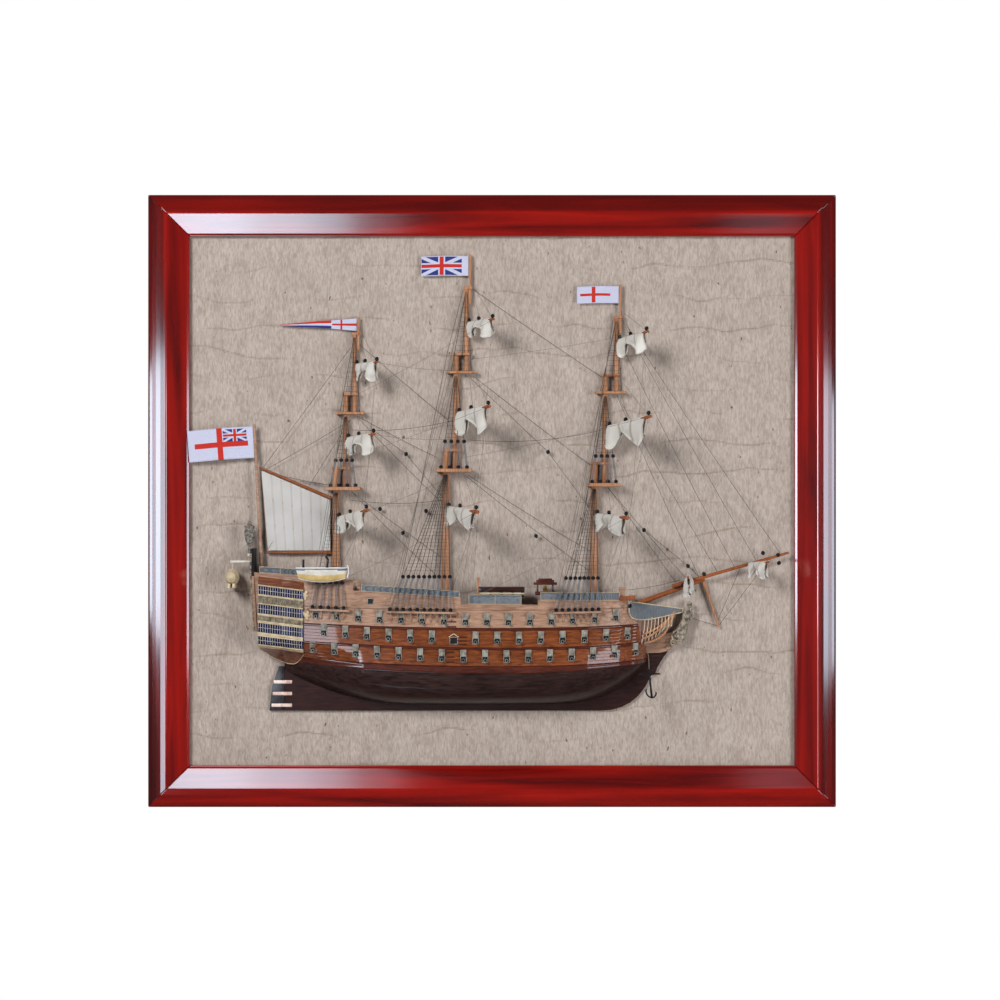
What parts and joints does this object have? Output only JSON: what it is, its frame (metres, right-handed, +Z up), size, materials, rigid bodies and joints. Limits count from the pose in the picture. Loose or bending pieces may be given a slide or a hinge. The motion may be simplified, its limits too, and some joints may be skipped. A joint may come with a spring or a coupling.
{
  "type": "framed half hull ship model",
  "caption": "Framed half model of a three-decked sailing warship with masts, furled sails and flags, on a cloth-covered panel in a mitred mahogany frame, made to hang on a wall.",
  "frame": {"origin": "centre of the flat rear face of the back board, on the wall", "axes": "+X along the ship towards its bow, +Z up, +Y into the wall, so the viewer looks along +Y"},
  "size_m": [1, 0.1469, 0.89],
  "materials": {
    "back_board": "plain fibreboard",
    "black_iron": "blackened metal",
    "boat_paint": "pale painted wood",
    "bottom_paint": "very dark brown gloss paint on wood",
    "canvas": "taupe handmade cloth with fine fibres and creases",
    "carving": "grey-brown carved wood",
    "flag_cloth": "white cotton with coloured crosses",
    "frame_mahogany": "glossy dark red mahogany lacquer",
    "gallery": "brown carved wood with cream mouldings",
    "keel_wood": "dark red-brown satin wood",
    "netting": "grey-blue woven netting",
    "pale_wood": "light salmon satin wood",
    "planking": "red-brown satin planking",
    "rope": "grey-brown twisted thread",
    "sailcloth": "off-white stiffened cotton",
    "spar_wood": "orange-brown satin spars",
    "wale_wood": "dark brown gloss wood"
  },
  "bodies": {
    "root": {"anchor": "black_iron", "anchor_rope": "rope", "back_board": "back_board", "boom": "spar_wood", "bowsprit": "spar_wood", "bowsprit_sail": "sailcloth", "canvas_panel": "canvas", "cathead": "spar_wood", "dolphin_striker": "spar_wood", "ensign": "flag_cloth", "ensign_staff": "pale_wood", "figurehead": "carving", "fore_channel": "pale_wood", "fore_flag": "flag_cloth", "fore_lower_mast": "spar_wood", "fore_lower_sail": "sailcloth", "fore_topgallant_mast": "spar_wood", "fore_topgallant_sail": "sailcloth", "fore_topmast": "spar_wood", "fore_topmast_sail": "sailcloth", "forecastle_bulwark": "planking", "frame_bottom_rail": "frame_mahogany", "frame_left_rail": "frame_mahogany", "frame_right_rail": "frame_mahogany", "frame_top_rail": "frame_mahogany", "gaff": "spar_wood", "head_knee": "pale_wood", "head_rails": "netting", "hull_bottom": "bottom_paint", "hull_topsides": "planking", "jib_boom": "spar_wood", "jib_boom_sail": "sailcloth", "keel_and_stem": "keel_wood", "lower_wale": "wale_wood", "main_channel": "pale_wood", "main_flag": "flag_cloth", "main_lower_mast": "spar_wood", "main_lower_sail": "sailcloth", "main_topgallant_mast": "spar_wood", "main_topgallant_sail": "sailcloth", "main_topmast": "spar_wood", "main_topmast_sail": "sailcloth", "mizzen_channel": "pale_wood", "mizzen_lower_mast": "spar_wood", "mizzen_lower_sail": "sailcloth", "mizzen_pennant": "flag_cloth", "mizzen_topgallant_mast": "spar_wood", "mizzen_topgallant_sail": "sailcloth", "mizzen_topmast": "spar_wood", "mizzen_topmast_sail": "sailcloth", "poop_bulwark": "planking", "quarter_boat": "boat_paint", "quarter_gallery": "gallery", "quarterdeck_bulwark": "pale_wood", "rudder": "black_iron", "spanker": "sailcloth", "stern_board": "carving", "stern_boat": "boat_paint", "waist_rail": "netting"}
  },
  "joints": []
}
